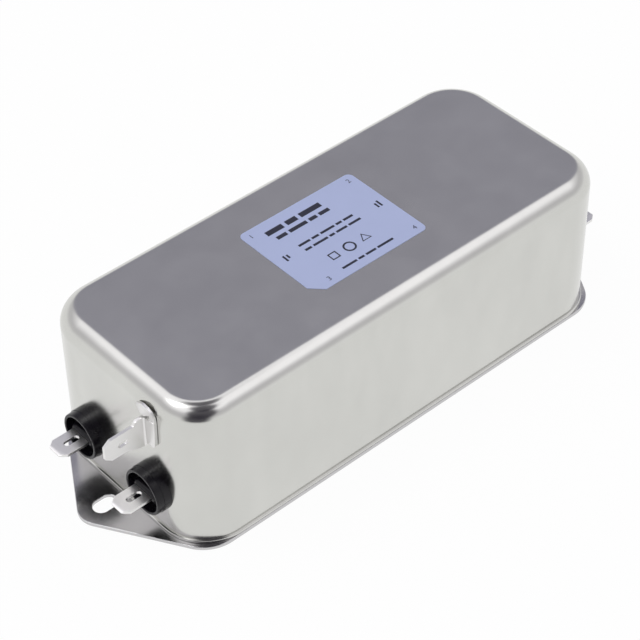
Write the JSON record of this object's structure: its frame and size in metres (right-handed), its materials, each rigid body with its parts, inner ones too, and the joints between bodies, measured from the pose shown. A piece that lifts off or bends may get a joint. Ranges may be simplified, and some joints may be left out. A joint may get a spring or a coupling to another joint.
{
  "type": "emi line filter",
  "caption": "Drawn metal can line filter with quick-connect blade terminals at both ends, an earth tab and a base plate with two slotted mounting ears.",
  "frame": {"origin": "middle of the base plate's underside, the face that bolts to a chassis", "axes": "+X along the can towards the load end, +Z out of the can's top, +Y to the left when looking from the line end to the load end"},
  "size_m": [0.1608, 0.0578, 0.0433],
  "materials": {
    "can_metal": "satin nickel-plated sheet",
    "plate_metal": "satin nickel-plated sheet",
    "terminal_metal": "tin-plated, smooth",
    "bushing_plastic": "black moulded thermoset, slight gloss",
    "label_film": "pale blue printed film",
    "board_laminate": "green glass-epoxy laminate",
    "sheet_film": "insulating paper",
    "post_plastic": "natural nylon",
    "compound": "dark potting resin",
    "core_coating": "coated ferrite ring",
    "copper_wire": "enamelled copper",
    "capacitor_case": "yellow film capacitor case",
    "disc_lacquer": "blue lacquered disc",
    "resistor_body": "lacquered film resistor"
  },
  "bodies": {
    "root": {"can": "can_metal", "base_plate": "plate_metal", "label": "label_film", "line_bushing_1": "bushing_plastic", "line_bushing_2": "bushing_plastic", "load_bushing_1": "bushing_plastic", "load_bushing_2": "bushing_plastic", "line_blade_1": "terminal_metal", "line_blade_2": "terminal_metal", "load_blade_1": "terminal_metal", "load_blade_2": "terminal_metal", "earth_tab": "terminal_metal", "insulating_sheet": "sheet_film", "board_posts": "post_plastic", "circuit_board": "board_laminate", "potting_compound": "compound", "choke_core_1": "core_coating", "choke_core_2": "core_coating", "choke_divider_1": "post_plastic", "choke_divider_2": "post_plastic", "winding_1a": "copper_wire", "winding_1b": "copper_wire", "winding_2a": "copper_wire", "winding_2b": "copper_wire", "line_capacitor_1": "capacitor_case", "line_capacitor_2": "capacitor_case", "line_capacitor_3": "capacitor_case", "earth_capacitor_1": "disc_lacquer", "earth_capacitor_2": "disc_lacquer", "discharge_resistor": "resistor_body", "line_riser_1": "copper_wire", "line_riser_2": "copper_wire", "load_riser_1": "copper_wire", "load_riser_2": "copper_wire", "earth_strap": "terminal_metal"}
  },
  "joints": []
}
